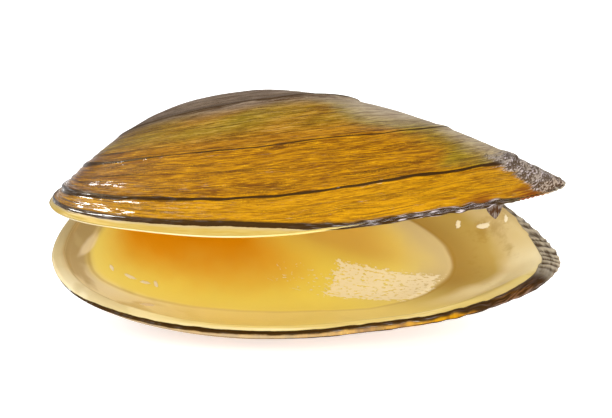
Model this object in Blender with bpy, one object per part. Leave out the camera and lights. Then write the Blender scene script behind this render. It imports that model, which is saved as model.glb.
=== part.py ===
"""Swan mussel shell, empty and gaping: two valves and the ligament that holds them together.

A mussel enlarges its shell by adding to the margin, so every growth line has the outline of the
whole valve, only smaller. Each valve is modelled that way: the outline is scaled down towards the
umbo and swung up about the hinge line, which gives the dome, the umbo and the growth rings at once.

In a valve's own frame the hinge line is the X axis, the umbo is at the origin, the rounded anterior
end is at -X, the pointed posterior end at +X and the free ventral margin at -Y. The plane in which
the closed valves meet is Z = 0. Metres throughout, +Z up in the world.
"""

import math

import bmesh
import bpy
from mathutils import Vector

# Outline of a valve: points (X, drop below the hinge line), joined by four quarter arcs.
OUTLINE = (
    (-0.011, 0.000),    # anterior end of the hinge line
    (-0.043, 0.0325),   # anterior tip
    (0.046, 0.067),     # lowest point of the ventral margin
    (0.087, 0.0485),    # posterior tip
    (0.042, 0.000),     # posterior end of the hinge line
)
ARC_FULLNESS = (1.55, 2.3, 1.65, 1.4)   # 1 is a straight line, 2 an ellipse, more is squarer
TIP_PLACE = 3                       # the posterior tip is where the third and fourth arcs meet
TIP_BLUNT = 0.12                    # how far along the outline the tip is blunted
TIP_REACH = 0.25                    # how far from the tip that is felt

# Growth of a valve from the umbo to the margin.
FULL_SWING = math.radians(190)      # how far the youngest growth line is swung up
SWING_POWER = 0.143                 # low values give a swollen umbo and a flatter rim
BULGE = 2.15                        # stretches the dome away from the plane of the margin
BULGE_SLOPE = 1.23                  # per metre of X: the posterior half is the deeper one
UMBO_DRIFT = -0.010                 # bends the growth lines' middle towards the anterior end
MARGIN_WAVE = 0.0013                # the margin isn't flat: it rises and falls along its length
MARGIN_WAVE_START = 0.032
MARGIN_WAVE_LENGTH = 0.106
MARGIN_WAVE_FADE = 6                # the wave dies away quickly inside the margin
HINGE_CALM = 0.030                  # drop below the hinge line over which the wave dies away

# Growth rings: where growth stopped for a winter the older shell stands up as a low step.
RINGS = (0.480, 0.715, 0.882)
RING_STEPS_FRONT = (0.0002, 0.0003, 0.0005)
RING_STEPS_REAR = (0.0008, 0.0004, 0.0005)
RING_CHANGE = (1.2, 2.4)            # places on the outline between which the steps change height
RING_CALM = 0.013                   # drop below the hinge line over which the steps die away
RING_RISE = 0.035                   # length of the slope up to the step, in units of growth
RING_FALL = 0.012
SKIN_EDGE = 0.965                   # the dark outer skin ends here, short of the lip

# Thickness of a valve.
MARGIN_HEIGHT = 0.0009              # outer edge of the margin above the plane where the valves meet
SEAT = 0.00015                      # half the gap left between the two valves' inner edges
WALL = 0.0013
LIP_GAIN = 0.0009                   # the anterior and ventral lip is thicker
LIP_FADE = 1.6                      # the lip's gain is gone at 1 / 1.6 of the way to the posterior tip
POSTERIOR_LOSS = 0.0003
POSTERIOR_START = 0.5               # share of the valve's length where the loss starts
HINGE_WALL = 0.00075
HINGE_WALL_SLOPE = 0.2
CAVITY_START = 0.12                 # the hollow starts at this growth line
CAVITY_JOIN = 0.25
LIP_START = 0.88

# Pose of the shell.
GAPE = math.radians(25.9)           # angle between the two valves
REST_TILT = math.radians(12)        # how far the ventral side dips
REST_ROLL = math.radians(-3)        # how far the anterior end dips
REST_FLAT = 0.00015                 # depth of the worn spot on which the lower valve rests

# Ligament.
LIGAMENT_START = 0.006
LIGAMENT_END = 0.040
LIGAMENT_WIDTH = 0.0040
LIGAMENT_HEIGHT = 0.0019
LIGAMENT_GAP = 0.0003

# Mesh density.
COLUMNS = 48                        # along a growth line, a multiple of the four arcs
EVEN_ROWS = 14                      # growth lines from the umbo to the margin, before the rings'
ROW_POWER = 1.25
ROW_CLEARANCE = 0.02
SLOPE_STEP = 0.01
SLOPE_EDGE = 0.1                    # slopes are read at least this far from the ends of the hinge

# Colours of the plain solids.
SKIN_BROWN = (0.30, 0.16, 0.03, 1.0)
NACRE_CREAM = (0.78, 0.58, 0.26, 1.0)
LIGAMENT_BROWN = (0.07, 0.035, 0.015, 1.0)


def smooth(value):
    """Ease from 0 to 1 as the value goes from 0 to 1."""
    value = min(max(value, 0.0), 1.0)
    return value * value * (3 - 2 * value)


def arc_point(along):
    """Point (X, drop) of the four arcs, with along running from 0 to 4 through them."""
    arc = min(int(along), len(ARC_FULLNESS) - 1)
    turn = (along - arc) * math.pi / 2
    power = 2 / ARC_FULLNESS[arc]
    rise = math.sin(turn) ** power
    fall = 1 - max(math.cos(turn), 0.0) ** power
    x_share, drop_share = (rise, fall) if arc % 2 == 0 else (fall, rise)
    (x_start, drop_start), (x_end, drop_end) = OUTLINE[arc], OUTLINE[arc + 1]
    x = x_start + (x_end - x_start) * x_share
    drop = drop_start + (drop_end - drop_start) * drop_share
    return x, drop


def outline_point(along):
    """Point (X, drop) of the outline: the four arcs with a blunted posterior tip."""
    blunt = TIP_BLUNT * math.exp(-((along - TIP_PLACE) / TIP_REACH) ** 2)
    before, here, after = (
        Vector(arc_point(min(max(along + shift, 0), 4))) for shift in (-blunt, 0, blunt))
    x, drop = before / 4 + here / 2 + after / 4
    return x, drop


def smooth_point(along, size):
    """Point of the outside of a valve without its rings, and the height of the margin's wave."""
    x_full, drop_full = outline_point(along)
    swing = FULL_SWING * (1 - size ** SWING_POWER)
    x = size * x_full + UMBO_DRIFT * size * (1 - size)
    reach = size * drop_full
    height = reach * math.sin(swing) * BULGE * (1 + BULGE_SLOPE * x)
    place = x_full + UMBO_DRIFT * (1 - size) - MARGIN_WAVE_START
    wave = MARGIN_WAVE * math.sin(2 * math.pi * place / MARGIN_WAVE_LENGTH)
    wave *= size ** MARGIN_WAVE_FADE * smooth(drop_full / HINGE_CALM)
    return Vector((x, -reach * math.cos(swing), height + MARGIN_HEIGHT)), wave


def outward(along, size):
    """Unit vector that points out of the dome at a point of it."""
    along = min(max(along, SLOPE_EDGE), 4 - SLOPE_EDGE)
    size = min(size, 1 - SLOPE_STEP)
    across = smooth_point(along + SLOPE_STEP, size)[0] - smooth_point(along - SLOPE_STEP, size)[0]
    down = smooth_point(along, size + SLOPE_STEP)[0] - smooth_point(along, size - SLOPE_STEP)[0]
    return down.cross(across).normalized()


def inward_in_plane(along):
    """Unit vector in the plane of the margin that points into the valve."""
    before = outline_point(max(along - SLOPE_STEP, 0))
    after = outline_point(min(along + SLOPE_STEP, 4))
    return Vector((after[1] - before[1], after[0] - before[0], 0)).normalized()


def ring_relief(along, size):
    """Height of the steps at the growth rings."""
    relief = 0.0
    start, end = RING_CHANGE
    rear = smooth((along - start) / (end - start))
    for ring, front_step, rear_step in zip(RINGS, RING_STEPS_FRONT, RING_STEPS_REAR):
        step = front_step + (rear_step - front_step) * rear
        if size <= ring:
            relief += step * smooth(1 - (ring - size) / RING_RISE)
        else:
            relief += step * smooth(1 - (size - ring) / RING_FALL)
    return relief


def outer_point(along, size):
    """Point of the outside of a valve, with its rings."""
    point, wave = smooth_point(along, size)
    if size > 0:
        calm = smooth(size * outline_point(along)[1] / RING_CALM)
        point += outward(along, size) * ring_relief(along, size) * calm
    return point, wave


def wall_thickness(along, size):
    """Thickness of the wall: a thick anterior lip, a thin posterior end and a thin hinge."""
    x_full, drop_full = outline_point(along)
    span = OUTLINE[3][0] - OUTLINE[1][0]
    back = (x_full - OUTLINE[1][0]) / span
    wall = WALL - POSTERIOR_LOSS * smooth((back - POSTERIOR_START) / (1 - POSTERIOR_START))
    wall += LIP_GAIN * smooth((size - LIP_START) / (1 - LIP_START)) * (1 - smooth(back * LIP_FADE))
    return min(wall, HINGE_WALL + HINGE_WALL_SLOPE * size * drop_full)


def inner_point(along, size):
    """Point of the inside of a valve."""
    if size < CAVITY_JOIN:
        size = CAVITY_START + (CAVITY_JOIN - CAVITY_START) * size / CAVITY_JOIN
    wall = wall_thickness(along, size)
    point, wave = smooth_point(along, size)
    inside = point - outward(along, size) * wall
    seat = point + inward_in_plane(along) * wall
    seat.z = SEAT
    return inside.lerp(seat, smooth((size - LIP_START) / (1 - LIP_START))), wave


def growth_rows():
    """Sizes of the growth lines in the mesh: steps that widen, and three lines at each ring."""
    ringed = [SKIN_EDGE]
    for ring in RINGS:
        ringed += [ring - RING_RISE, ring, ring + RING_FALL]
    steps = [(row / EVEN_ROWS) ** ROW_POWER for row in range(EVEN_ROWS + 1)]
    free = [size for size in steps if all(abs(size - line) > ROW_CLEARANCE for line in ringed)]
    return sorted(free + ringed)


def sheet_vertices(bm, rows):
    """Add a grid to the mesh and return its vertices with their column and row."""
    grid = bmesh.ops.create_grid(bm, x_segments=COLUMNS, y_segments=len(rows) - 1, size=0.5)
    places = []
    for vertex in grid["verts"]:
        column = round((vertex.co.x + 0.5) * COLUMNS)
        row = round((vertex.co.y + 0.5) * (len(rows) - 1))
        places.append((vertex, 4 * column / COLUMNS, row))
    return places


def bend_sheet(bm, rows, side, surface):
    """Add one surface of a valve to the mesh and return its rim edges."""
    places = sheet_vertices(bm, rows)
    for vertex, along, row in places:
        point, wave = surface(along, rows[row])
        vertex.co = (point.x, point.y, side * point.z + wave)
    pole = [vertex for vertex, _, row in places if row == 0]
    centre = (pole[0].co + pole[-1].co) / 2
    bmesh.ops.pointmerge(bm, verts=pole, merge_co=centre)
    faces = {face for vertex, _, _ in places if vertex.is_valid for face in vertex.link_faces}
    if (side > 0) == (surface is outer_point):
        bmesh.ops.reverse_faces(bm, faces=list(faces))
    return [edge for face in faces for edge in face.edges if edge.is_boundary]


def valve_mesh(name, side):
    """Mesh of one valve, closed: the outside, the inside and the rim between them."""
    rows = growth_rows()
    bm = bmesh.new()
    edges = bend_sheet(bm, rows, side, outer_point) + bend_sheet(bm, rows, side, inner_point)
    bmesh.ops.bridge_loops(bm, edges=list(set(edges)))
    mesh = bpy.data.meshes.new(name)
    bm.to_mesh(mesh)
    bm.free()
    return mesh


def plain_material(name, colour, roughness):
    """Principled material of one colour."""
    material = bpy.data.materials.new(name)
    material.use_nodes = True
    shader = material.node_tree.nodes["Principled BSDF"]
    shader.inputs["Base Color"].default_value = colour
    shader.inputs["Roughness"].default_value = roughness
    shader.inputs["Metallic"].default_value = 0.0
    return material


def wear_flat(piece):
    """Wear a small level spot on the lowest point of a piece."""
    placing = piece.matrix_world
    bm = bmesh.new()
    bm.from_mesh(piece.data)
    lowest = min((placing @ vertex.co).z for vertex in bm.verts)
    level = placing.inverted() @ Vector((0, 0, lowest + REST_FLAT))
    down = placing.inverted().to_3x3() @ Vector((0, 0, -1))
    everything = bm.verts[:] + bm.edges[:] + bm.faces[:]
    cut = bmesh.ops.bisect_plane(
        bm, geom=everything, dist=1e-7, plane_co=level, plane_no=down, clear_outer=True)
    rim = [edge for edge in cut["geom_cut"] if isinstance(edge, bmesh.types.BMEdge)]
    bmesh.ops.edgeloop_fill(bm, edges=rim)
    bm.to_mesh(piece.data)
    bm.free()


def stand_on_ground(hinge, pieces):
    """Move the hinge so that the middle of the shell's underside is the world's origin."""
    corners = [piece.matrix_world @ vertex.co for piece in pieces for vertex in piece.data.vertices]
    lows = [min(corner[axis] for corner in corners) for axis in range(3)]
    highs = [max(corner[axis] for corner in corners) for axis in range(3)]
    hinge.location.x -= (lows[0] + highs[0]) / 2
    hinge.location.y -= (lows[1] + highs[1]) / 2
    hinge.location.z -= lows[2]
    bpy.context.view_layer.update()


def add_object(name, mesh, material, collection, parent, swing):
    """Put a mesh in the collection as a child of the hinge, swung about the hinge line."""
    mesh.materials.append(material)
    piece = bpy.data.objects.new(name, mesh)
    collection.objects.link(piece)
    piece.parent = parent
    piece.rotation_euler = (swing, 0, 0)
    return piece


def ligament_mesh(name):
    """Mesh of the ligament: a spindle along the hinge line with a flat side to the valves."""
    bm = bmesh.new()
    bmesh.ops.create_uvsphere(bm, u_segments=20, v_segments=14, radius=0.5)
    length = LIGAMENT_END - LIGAMENT_START
    for vertex in bm.verts:
        across, out, along = vertex.co
        vertex.co.x = (LIGAMENT_START + LIGAMENT_END) / 2 + length * along
        vertex.co.y = LIGAMENT_GAP + max(2 * LIGAMENT_HEIGHT * out, 0)
        vertex.co.z = -LIGAMENT_WIDTH * across
    mesh = bpy.data.meshes.new(name)
    bm.to_mesh(mesh)
    bm.free()
    return mesh


def main():
    """Build the shell in its resting pose, with its lowest point on Z = 0."""
    for leftover in list(bpy.data.objects):
        bpy.data.objects.remove(leftover)
    collection = bpy.data.collections.new("swan_mussel_shell")
    bpy.context.scene.collection.children.link(collection)
    hinge = bpy.data.objects.new("hinge", None)
    collection.objects.link(hinge)
    hinge.rotation_euler = (REST_TILT, REST_ROLL, 0)
    skin = plain_material("periostracum", SKIN_BROWN, 0.35)
    nacre = plain_material("nacre", NACRE_CREAM, 0.25)
    brown = plain_material("ligament", LIGAMENT_BROWN, 0.5)
    upper = add_object("left_valve", valve_mesh("left_valve", 1), skin, collection, hinge, -GAPE / 2)
    lower = add_object("right_valve", valve_mesh("right_valve", -1), nacre, collection, hinge, GAPE / 2)
    band = add_object("ligament", ligament_mesh("ligament"), brown, collection, hinge, 0)
    bpy.context.view_layer.update()
    wear_flat(lower)
    stand_on_ground(hinge, (upper, lower, band))


main()
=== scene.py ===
"""Swan mussel shell: the finished surfaces of two gaping valves and their ligament, on a floor.

Both valves follow one rule of growth: every growth line has the outline of the whole valve, scaled
down towards the umbo and swung up about the hinge line. A point of a valve is therefore named by
along, its place on the outline (0 at the front end of the hinge, 4 at the rear end), and size, the
growth line that it lies on (0 at the umbo, 1 at the margin). Lengths are in metres, and in
millimetres where a name ends in mm or a comment says so. +Z is up.
"""

import math

import bmesh
import bpy
import numpy as np
from bpy.props import FloatProperty, FloatVectorProperty, PointerProperty
from mathutils import Matrix, Quaternion, Vector


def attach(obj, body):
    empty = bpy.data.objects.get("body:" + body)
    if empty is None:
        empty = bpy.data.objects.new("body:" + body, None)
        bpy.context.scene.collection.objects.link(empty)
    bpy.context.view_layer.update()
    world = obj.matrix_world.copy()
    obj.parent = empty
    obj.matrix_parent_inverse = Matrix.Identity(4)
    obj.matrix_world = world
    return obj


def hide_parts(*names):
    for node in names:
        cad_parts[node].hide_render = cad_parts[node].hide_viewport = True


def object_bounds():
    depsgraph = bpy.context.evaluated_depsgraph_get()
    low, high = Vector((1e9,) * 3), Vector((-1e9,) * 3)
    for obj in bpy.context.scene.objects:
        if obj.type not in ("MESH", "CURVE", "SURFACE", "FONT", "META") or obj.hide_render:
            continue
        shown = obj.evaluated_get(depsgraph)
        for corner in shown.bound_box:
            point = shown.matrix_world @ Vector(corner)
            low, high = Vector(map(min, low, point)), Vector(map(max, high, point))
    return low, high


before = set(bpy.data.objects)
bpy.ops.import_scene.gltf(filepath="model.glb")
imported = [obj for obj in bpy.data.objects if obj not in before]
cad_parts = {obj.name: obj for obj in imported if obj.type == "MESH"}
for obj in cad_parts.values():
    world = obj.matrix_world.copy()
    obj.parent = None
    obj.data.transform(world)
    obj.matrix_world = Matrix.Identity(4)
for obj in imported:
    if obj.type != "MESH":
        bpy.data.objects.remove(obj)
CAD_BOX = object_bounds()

bl_info = {
    "name": "Swan Mussel Shell",
    "version": (1, 0, 0),
    "blender": (4, 5, 0),
    "location": "View3D > Sidebar > Mussel Shell",
    "description": "Builds the surfaces of a gaping swan mussel shell and its stage",
    "category": "Add Mesh",
}

MM = 0.001                          # one millimetre in metres

# Outline of a valve: points (X, drop below the hinge line) joined by four quarter arcs.
OUTLINE = np.array(((-0.011, 0.0), (-0.043, 0.0325), (0.046, 0.067), (0.087, 0.0485), (0.042, 0.0)))
ARC_FULLNESS = np.array((1.55, 2.3, 1.65, 1.4))
TIP_PLACE = 3
TIP_BLUNT = 0.12
TIP_REACH = 0.25
FULL_SWING = math.radians(190)
SWING_POWER = 0.143
BULGE = 2.15
BULGE_SLOPE = 1.23
UMBO_DRIFT = -0.010
MARGIN_WAVE = 0.0013
MARGIN_WAVE_START = 0.032
MARGIN_WAVE_LENGTH = 0.106
MARGIN_WAVE_FADE = 6
HINGE_CALM = 0.030
MARGIN_HEIGHT = 0.0009
SEAT = 0.00015
GROWTH_LENGTH = 65.0                # millimetres from the umbo to the margin

# Growth rings.
RINGS = (0.480, 0.715, 0.882)
RING_STEPS_FRONT = (0.0002, 0.0003, 0.0005)
RING_STEPS_REAR = (0.0008, 0.0004, 0.0005)
RING_CHANGE = (1.2, 2.4)            # places on the outline between which the steps change height
RING_CALM = 0.013                   # drop below the hinge line over which the steps die away
RING_RISE = 0.035
RING_FALL = 0.012

# Wall of a valve.
WALL = 0.0013
LIP_GAIN = 0.0009
POSTERIOR_LOSS = 0.0003
HINGE_WALL = 0.00075
HINGE_WALL_SLOPE = 0.2
CAVITY_START = 0.12
CAVITY_JOIN = 0.25
LIP_START = 0.88

# Pose of the hinge and the two valves.
HINGE_PLACE = Vector((-0.022202, 0.032385, 0.034641))
REST_TILT = math.radians(12)
REST_ROLL = math.radians(-3)
GAPE = math.radians(25.9)

# Line (along, size) inside which the nacre is thicker.
NACRE_LINE = (
    (0.0, 0.62), (0.85, 0.66), (1.05, 0.775), (1.2, 0.712), (1.4, 0.64), (1.6, 0.615), (1.85, 0.60),
    (2.2, 0.667), (2.4, 0.733), (2.6, 0.747), (3.0, 0.738), (3.2, 0.755), (3.3, 0.740),
    (3.5, 0.60), (4.0, 0.55),
)
# Shifts along the outline over which that line is averaged.
NACRE_BLUR = (-0.14, -0.07, 0.0, 0.07, 0.14)

# The upper valve's lip isn't even: how far it reaches out, in millimetres, along the outline.
LIP_WAVE = (
    (0.9, 0.0), (1.15, 0.0), (1.28, 0.25), (1.45, -0.40), (1.60, 0.10), (1.72, 0.10), (1.80, 0.0),
    (1.86, -0.30), (1.93, 0.15), (1.99, -0.15), (2.06, 0.35), (2.13, -0.25), (2.19, 0.25),
    (2.25, -0.30), (2.31, 0.10), (2.36, -0.30), (2.42, 0.15), (2.50, -0.10), (2.6, 0.0),
)

# How far the skin reaches in over the lower valve's edge, in millimetres, along the outline.
SKIN_REACH = (
    (0.0, -2.4), (1.0, -2.4), (1.08, 0.3), (1.3, 1.0), (1.6, 1.8), (2.1, 2.0), (2.32, 2.0),
    (2.43, 2.5), (2.52, 3.0), (2.65, 3.7), (2.82, 5.1), (3.02, 5.6), (3.14, 4.6), (3.22, 3.9),
    (3.32, 1.8), (3.5, 1.3), (4.0, 1.2),
)

# Fine relief: length of a pleat on the margin in millimetres, and the lower valve's belly.
PLEAT_LENGTH = 1.9
BELLY_ALONG = (1.15, 1.45, 2.0, 2.5)    # where on the outline it begins, is full, fades and ends
BELLY_DEPTH = (2.5, 5.0, 16.0)          # millimetres below the margin: full, fading, ended

# How much longer the surface is than the drop that it covers near the margin, outside and inside.
SLANT_OUTSIDE = 1.35
SLANT_INSIDE = 1.1

# Rows of the mesh as runs of (size at the start, size at the end, number of rows), and its columns.
OUTSIDE_ROWS = ((0, 0.06, 8), (0.06, 0.86, 105), (0.86, 1, 55))
INSIDE_ROWS = ((1, 0.86, 38), (0.86, 0.06, 109), (0.06, 0, 8))
RIM_ROWS = 12
COLUMNS = 288

# Patch of painted highlight on the nacre, speckled like frost: middle and half sizes in
# millimetres, those of a stroke, and its turn.
HIGHLIGHT_PATCH = (22.6, 7.2, 15.6, 5.2)
HIGHLIGHT_STROKE = (0, 0, 1.6, 0.6)
HIGHLIGHT_TURN = -34

# Scar near the front of the nacre, with a white streak of painted highlight: middle and half sizes
# in millimetres; its turn in degrees.
SCAR = (-53.6, 15.0, 8.0, 0.8)
SCAR_TURN = 56

# Painted white glints of the wet nacre, shaped like blisters, in millimetres and degrees: middle,
# half sizes and turn.
GLINT_SPOTS = (
    (-47.7, 14.0, 0.6, 0.9, 0), (-42.8, 14.2, 1.8, 0.7, 4), (-39.0, 14.1, 1.6, 0.6, 10),
    (-36.0, 14.8, 0.6, 1.5, 0), (-40.0, 2.3, 2.6, 1.1, 30), (43.2, 9.6, 0.85, 0.6, -32),
    (49.1, 6.0, 1.9, 0.35, -32), (54.3, 3.1, 0.5, 0.8, 0),
)

# Dark lines on the skin: growth line, half width in millimetres, strength.
RING_LINES = (
    (0.472, 1.6, 0.45), (0.482, 0.30, 0.9), (0.560, 0.12, 0.4), (0.664, 0.16, 0.5),
    (0.700, 0.16, 0.4), (0.715, 0.25, 0.95), (0.790, 0.12, 0.35), (0.884, 0.40, 1.0),
    (0.925, 0.11, 0.3), (0.955, 0.12, 0.35),
)

# Scrap of skin: where on the upper valve's outline it starts and how far it runs, where across it
# is longest, how much narrower it grows downwards, and its wall.
SCRAP_START = 2.295
SCRAP_SPAN = 0.10
SCRAP_TIP = 0.62
SCRAP_TAPER = 0.00112
SCRAP_WALL = 0.00025

# Ligament: its middle and length along the hinge from the umbos, its backward shift, how far it
# bulges behind and in front, and its height.
LIGAMENT_MIDDLE = 0.023
LIGAMENT_LENGTH = 0.0336
LIGAMENT_SHIFT = 0.0003
LIGAMENT_BEHIND = 0.0036
LIGAMENT_BEFORE = 0.0022
LIGAMENT_HEIGHT = 0.0039

# Lights: the point they face, azimuth and elevation in degrees, distance, size, turn in degrees.
LIGHTS = {
    "front_light": ((0.0, 0.0, 0.03), 8, 24, 1.0, (0.5, 0.5), 0),
    "top_light": ((0.0, 0.0, 0.03), -20, 75, 0.9, (0.5, 0.5), 0),
    "left_light": ((0.04, 0.0, 0.03), -62, 28, 0.8, (0.2, 0.2), 0),
    "gloss_strip": ((-0.045, 0.0, 0.04), -109, 49, 0.8, (0.7, 0.2), 45),
}
SKY_SEEN = 1.1                      # strength of the sky where the camera sees it

# Camera: azimuth, elevation and roll in degrees, the point it faces, its distance, its sensor.
CAMERA_TURN = (-11.123, 19.100, 1.236)
CAMERA_AIM = (0.00003, -0.00259, 0.03160)
CAMERA_DISTANCE = 0.75527
CAMERA_SENSOR = 36                  # millimetres


def smooth(value):
    """Ease from 0 to 1 as the values go from 0 to 1."""
    value = np.clip(value, 0, 1)
    return value * value * (3 - 2 * value)


def soft_noise(across, down, seed):
    """Smooth noise from -1 to 1 on a plane, with one hill per unit."""
    lattice = np.random.default_rng(seed).uniform(-1, 1, (64, 64))
    column = np.floor(across).astype(int)
    row = np.floor(down).astype(int)
    right = smooth(across - column)
    lower = smooth(down - row)

    def corner(step_right, step_down):
        return lattice[(row + step_down) % 64, (column + step_right) % 64]

    top = corner(0, 0) * (1 - right) + corner(1, 0) * right
    bottom = corner(0, 1) * (1 - right) + corner(1, 1) * right
    return top * (1 - lower) + bottom * lower


def arc_points(along):
    """X and drop of the four arcs, with along running from 0 to 4 through them."""
    arc = np.minimum(along.astype(int), 3)
    turn = (along - arc) * math.pi / 2
    power = 2 / ARC_FULLNESS[arc]
    rise = np.sin(turn) ** power
    fall = 1 - np.maximum(np.cos(turn), 0) ** power
    even = arc % 2 == 0
    x_share = np.where(even, rise, fall)
    drop_share = np.where(even, fall, rise)
    start, end = OUTLINE[arc], OUTLINE[arc + 1]
    x = start[..., 0] + (end[..., 0] - start[..., 0]) * x_share
    drop = start[..., 1] + (end[..., 1] - start[..., 1]) * drop_share
    return x, drop


def outline_points(along):
    """X and drop of the outline: the four arcs with a blunted rear tip."""
    blunt = TIP_BLUNT * np.exp(-((along - TIP_PLACE) / TIP_REACH) ** 2)
    before = arc_points(np.clip(along - blunt, 0, 4))
    here = arc_points(along)
    after = arc_points(np.clip(along + blunt, 0, 4))
    return tuple(before[axis] / 4 + here[axis] / 2 + after[axis] / 4 for axis in (0, 1))


def dome_points(along, size):
    """Points of the smooth outside of a valve, and the height of the margin's wave."""
    x_full, drop_full = outline_points(along)
    swing = FULL_SWING * (1 - size ** SWING_POWER)
    x = size * x_full + UMBO_DRIFT * size * (1 - size)
    reach = size * drop_full
    height = reach * np.sin(swing) * BULGE * (1 + BULGE_SLOPE * x)
    place = x_full + UMBO_DRIFT * (1 - size) - MARGIN_WAVE_START
    wave = MARGIN_WAVE * np.sin(2 * math.pi * place / MARGIN_WAVE_LENGTH)
    wave = wave * size ** MARGIN_WAVE_FADE * smooth(drop_full / HINGE_CALM)
    return np.stack((x, -reach * np.cos(swing), height + MARGIN_HEIGHT), -1), wave


def unit(vectors):
    """The vectors made one long."""
    return vectors / np.maximum(np.linalg.norm(vectors, axis=-1, keepdims=True), 1e-12)


def dome_normals(along, size):
    """Directions out of the smooth outside of a valve."""
    along = np.clip(along, 0.1, 3.9)
    size = np.minimum(size, 0.99)
    across = dome_points(along + 0.01, size)[0] - dome_points(along - 0.01, size)[0]
    down = dome_points(along, size + 0.01)[0] - dome_points(along, size - 0.01)[0]
    return unit(np.cross(down, across))


def wall_thickness(along, size):
    """Thickness of the wall: a thick front lip, a thin rear end and a thin hinge."""
    x_full, drop_full = outline_points(along)
    back = (x_full - OUTLINE[1, 0]) / (OUTLINE[3, 0] - OUTLINE[1, 0])
    wall = WALL - POSTERIOR_LOSS * smooth(2 * back - 1)
    wall = wall + LIP_GAIN * smooth((size - LIP_START) / (1 - LIP_START)) * (1 - smooth(back * 1.6))
    return np.minimum(wall, HINGE_WALL + HINGE_WALL_SLOPE * size * drop_full)


def cavity_points(along, size):
    """Points of the inside of a valve, and the height of the margin's wave."""
    deep = CAVITY_START + (CAVITY_JOIN - CAVITY_START) * size / CAVITY_JOIN
    size = np.where(size < CAVITY_JOIN, deep, size)
    wall = wall_thickness(along, size)[..., None]
    points, wave = dome_points(along, size)
    inside = points - dome_normals(along, size) * wall
    before = outline_points(np.maximum(along - 0.01, 0))
    after = outline_points(np.minimum(along + 0.01, 4))
    inward = unit(np.stack((after[1] - before[1], after[0] - before[0], 0 * after[0]), -1))
    seat = points + inward * wall
    seat[..., 2] = SEAT
    share = smooth((size - LIP_START) / (1 - LIP_START))[..., None]
    return inside * (1 - share) + seat * share, wave


def ring_relief(along, size):
    """Height of the steps at the growth rings."""
    relief = 0 * size
    start, end = RING_CHANGE
    rear = smooth((along - start) / (end - start))
    for ring, front_step, rear_step in zip(RINGS, RING_STEPS_FRONT, RING_STEPS_REAR):
        step = front_step + (rear_step - front_step) * rear
        rise = smooth(1 - (ring - size) / RING_RISE)
        fall = smooth(1 - (size - ring) / RING_FALL)
        relief = relief + step * np.where(size <= ring, rise, fall)
    return relief


def outline_length(along):
    """Distance along the margin in millimetres, from the front end of the hinge."""
    fine = np.linspace(0, 4, 2001)
    x, drop = outline_points(fine)
    steps = np.hypot(np.diff(x), np.diff(drop))
    length = np.concatenate(((0,), np.cumsum(steps))) / MM
    return np.interp(along, fine, length)


def row_sizes(runs):
    """Growth lines of the mesh's rows, from runs that share their ends."""
    return np.concatenate([np.linspace(*run)[:-1] for run in runs[:-1]] + [np.linspace(*runs[-1])])


class ValveSheet:
    """One valve as a grid: outside, rim and inside, row by row from umbo to umbo."""

    def __init__(self, side):
        self.side = side
        outside, inside = row_sizes(OUTSIDE_ROWS), row_sizes(INSIDE_ROWS)
        rim = np.linspace(0, 1, RIM_ROWS + 1)[1:-1]
        self.size = np.concatenate((outside, np.ones(len(rim)), inside))[:, None]
        self.turn = np.concatenate((0 * outside, rim, 1 + 0 * inside))[:, None]
        along = np.linspace(0, 4, COLUMNS + 1)
        self.along = np.concatenate((along[:1], along, along[-1:]))[None, :]
        self.along, self.size, self.turn = np.broadcast_arrays(self.along, self.size, self.turn)
        self.rows = self.along.shape[0]
        self.middle = (self.rows - 1) // 2
        self.row = np.arange(self.rows)[:, None] + 0 * self.along
        self.x_full, self.drop_full = outline_points(self.along)
        self.along_mm = self.size * outline_length(self.along)
        self.growth_mm = self.size * GROWTH_LENGTH
        self.inward_mm = self.distance_from_edge()

    def distance_from_edge(self):
        """Millimetres from the outer edge of the margin: inwards over the rim, negative outside."""
        spread = np.hypot(self.x_full, self.drop_full) / MM
        wall = wall_thickness(self.along, np.ones_like(self.size)) / MM
        outside = (self.size - 1) * spread * SLANT_OUTSIDE
        inside = wall + (1 - self.size) * spread * SLANT_INSIDE
        over_rim = self.turn * wall
        distance = np.where(self.row < self.middle, outside, inside)
        return np.where((self.turn > 0) & (self.turn < 1), over_rim, distance)

    def points(self):
        """Points of the smooth valve in its own frame."""
        dome, dome_wave = dome_points(self.along, self.size)
        cavity, cavity_wave = cavity_points(self.along, self.size)
        edge = dome_points(self.along, np.ones_like(self.size))[0]
        seat = cavity_points(self.along, np.ones_like(self.size))[0]
        quarter = self.turn[..., None] * math.pi / 2
        rim = edge + (seat - edge) * (1 - np.cos(quarter))
        rim[..., 2] = edge[..., 2] + (seat[..., 2] - edge[..., 2]) * np.sin(quarter[..., 0])
        over_rim = ((self.turn > 0) & (self.turn < 1))[..., None]
        points = np.where(self.turn[..., None] < 0.5, dome, cavity)
        points = np.where(over_rim, rim, points)
        wave = np.where(self.turn < 0.5, dome_wave, cavity_wave)
        points[..., 2] = self.side * points[..., 2] + wave
        return points

    def normals(self, points):
        """Directions out of the solid."""
        across = np.gradient(points, axis=1)
        down = np.gradient(points, axis=0)
        return unit(np.cross(down, across)) * self.side

    def close_hinge(self, points):
        """Bring the first and the last column of outside and inside together."""
        for edge, inner in ((0, 1), (-1, -2)):
            points[:, edge] = (points[:, inner] + points[::-1, inner]) / 2
        return points


def valve_place(side):
    """Where a valve's own frame lies: side 1 is the upper valve, -1 the lower one, 0 between."""
    place = Matrix.Translation(HINGE_PLACE) @ Matrix.Rotation(REST_ROLL, 4, "Y")
    return place @ Matrix.Rotation(REST_TILT - side * GAPE / 2, 4, "X")


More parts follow.
